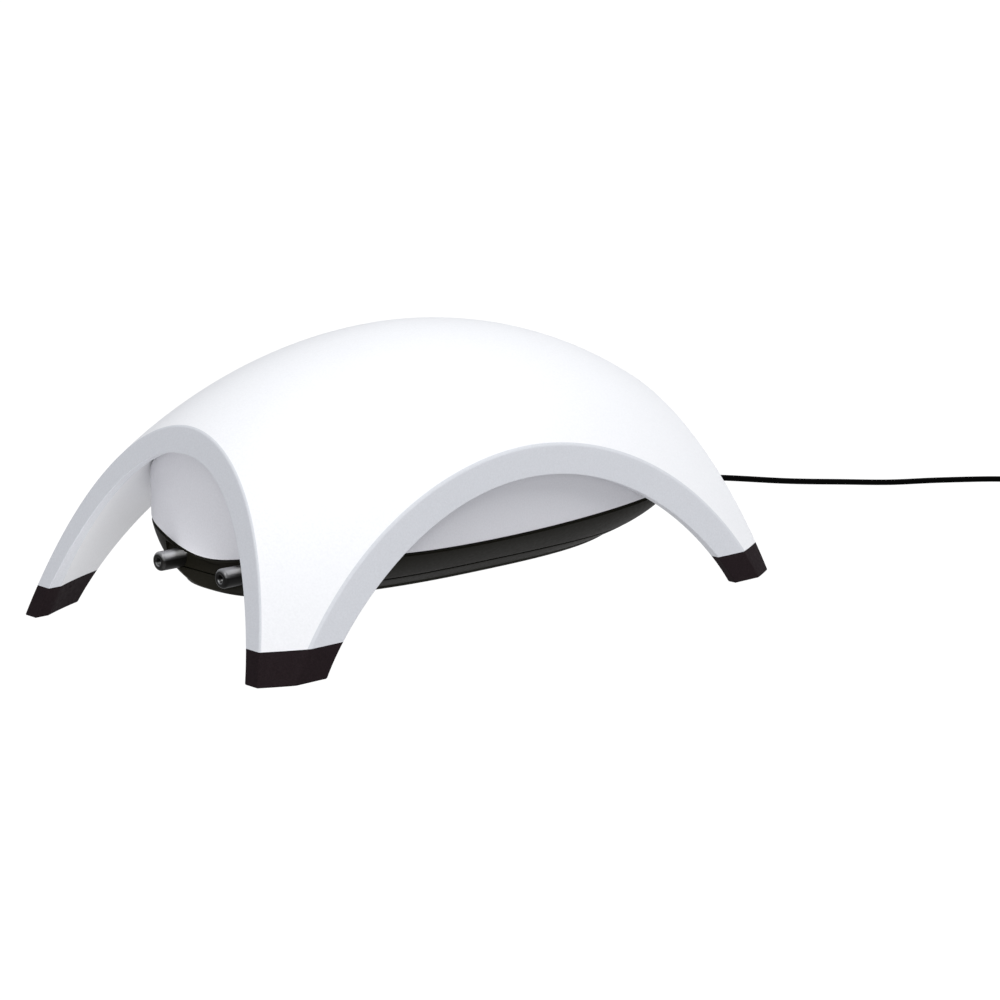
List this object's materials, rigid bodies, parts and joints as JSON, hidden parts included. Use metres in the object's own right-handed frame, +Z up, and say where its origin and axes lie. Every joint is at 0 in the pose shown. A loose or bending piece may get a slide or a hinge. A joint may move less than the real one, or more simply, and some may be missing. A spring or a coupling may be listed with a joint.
{
  "type": "air pump",
  "caption": "Diaphragm air pump with round outlets at the front, hung inside an arched dome that stands on rubber-tipped legs, with a thin cable at the rear.",
  "frame": {"origin": "centre of the bottom cover's flat underside, midway between the feet and 11.5 mm above the ground the feet stand on (their soles are at z = -0.0115)", "axes": "+X towards the rear, where the cable leaves (the outlets face -X), +Y towards the pump's right side, +Z up"},
  "size_m": [0.3326, 0.1088, 0.0753],
  "materials": {
    "dome": "white satin moulded plastic with a very fine spark-eroded grain",
    "housing": "light grey satin moulded plastic, fine grain",
    "tray": "warm black satin plastic",
    "nozzle": "black semi-gloss plastic, rounded tip",
    "foot": "very dark aubergine rubber with a fine grain",
    "hose": "translucent milky silicone",
    "cable": "black flexible cable jacket",
    "lead": "brown insulated wire",
    "rubber_parts": "black moulded rubber",
    "steel": "zinc plated steel",
    "core": "stacked electrical steel laminations",
    "magnet": "dark grey sintered ferrite",
    "winding": "enamelled copper wire, closely wound",
    "felt": "off-white needle felt",
    "valve_plate": "light grey moulded plastic",
    "nylon": "natural moulded nylon"
  },
  "bodies": {
    "pump_body": {"base_tray": "tray", "bottom_cover": "tray", "cable_clamp": "nylon", "cable_clamp_screw": "steel", "case_screw_front_left": "steel", "case_screw_front_right": "steel", "case_screw_rear_left": "steel", "case_screw_rear_right": "steel", "clamp_screw_left_front": "steel", "clamp_screw_left_rear": "steel", "clamp_screw_right_front": "steel", "clamp_screw_right_rear": "steel", "coil_bobbin": "nylon", "coil_lead_left": "lead", "coil_lead_right": "lead", "coil_winding": "winding", "core_clamp_left": "steel", "core_clamp_right": "steel", "core_laminations": "core", "dome_shell": "dome", "felt_filter": "felt", "foot_front_left": "foot", "foot_front_right": "foot", "foot_rear_left": "foot", "foot_rear_right": "foot", "housing_screw_front": "steel", "housing_screw_rear": "steel", "isolator_front_left": "rubber_parts", "isolator_front_right": "rubber_parts", "isolator_rear_left": "rubber_parts", "isolator_rear_right": "rubber_parts", "outlet_hose_left": "hose", "outlet_hose_right": "hose", "outlet_nozzle_left": "nozzle", "outlet_nozzle_right": "nozzle", "pivot_pin_left": "steel", "pivot_pin_right": "steel", "power_cable": "cable", "pump_housing": "housing", "seam_gasket": "rubber_parts", "strain_relief": "cable", "sub_frame": "nylon", "valve_box_left": "nylon", "valve_box_right": "nylon", "valve_plate_left": "valve_plate", "valve_plate_right": "valve_plate"},
    "left_arm": {"swing_arm_left": "nylon", "arm_bush_left": "rubber_parts", "arm_magnet_left": "magnet", "diaphragm_left": "rubber_parts"},
    "left_inlet_flap": {"inlet_flap_left": "rubber_parts"},
    "left_outlet_flap": {"outlet_flap_left": "rubber_parts"},
    "right_arm": {"swing_arm_right": "nylon", "arm_bush_right": "rubber_parts", "arm_magnet_right": "magnet", "diaphragm_right": "rubber_parts"},
    "right_inlet_flap": {"inlet_flap_right": "rubber_parts"},
    "right_outlet_flap": {"outlet_flap_right": "rubber_parts"}
  },
  "joints": [
    {"name": "left_arm_swing", "type": "hinge", "parent": "pump_body", "child": "left_arm", "pos_m": [-0.04, -0.031, 0.0245], "axis": [0, 0, 1], "range_deg": [-1.2, 1.2]},
    {"name": "right_arm_swing", "type": "hinge", "parent": "pump_body", "child": "right_arm", "pos_m": [-0.04, 0.031, 0.0245], "axis": [0, 0, 1], "range_deg": [-1.2, 1.2]},
    {"name": "left_inlet_flap_open", "type": "hinge", "parent": "pump_body", "child": "left_inlet_flap", "pos_m": [-0.01353, -0.021, 0.0245], "axis": [0, 0, 1], "range_deg": [0, 10]},
    {"name": "left_outlet_flap_open", "type": "hinge", "parent": "pump_body", "child": "left_outlet_flap", "pos_m": [-0.0236, -0.0176, 0.0245], "axis": [0, 0, -1], "range_deg": [0, 10]},
    {"name": "right_inlet_flap_open", "type": "hinge", "parent": "pump_body", "child": "right_inlet_flap", "pos_m": [-0.01353, 0.021, 0.0245], "axis": [0, 0, -1], "range_deg": [0, 10]},
    {"name": "right_outlet_flap_open", "type": "hinge", "parent": "pump_body", "child": "right_outlet_flap", "pos_m": [-0.0236, 0.0176, 0.0245], "axis": [0, 0, 1], "range_deg": [0, 10]}
  ],
  "couplings": [
    {"joint": "right_arm_swing", "follows": "left_arm_swing", "ratio": -1}
  ]
}
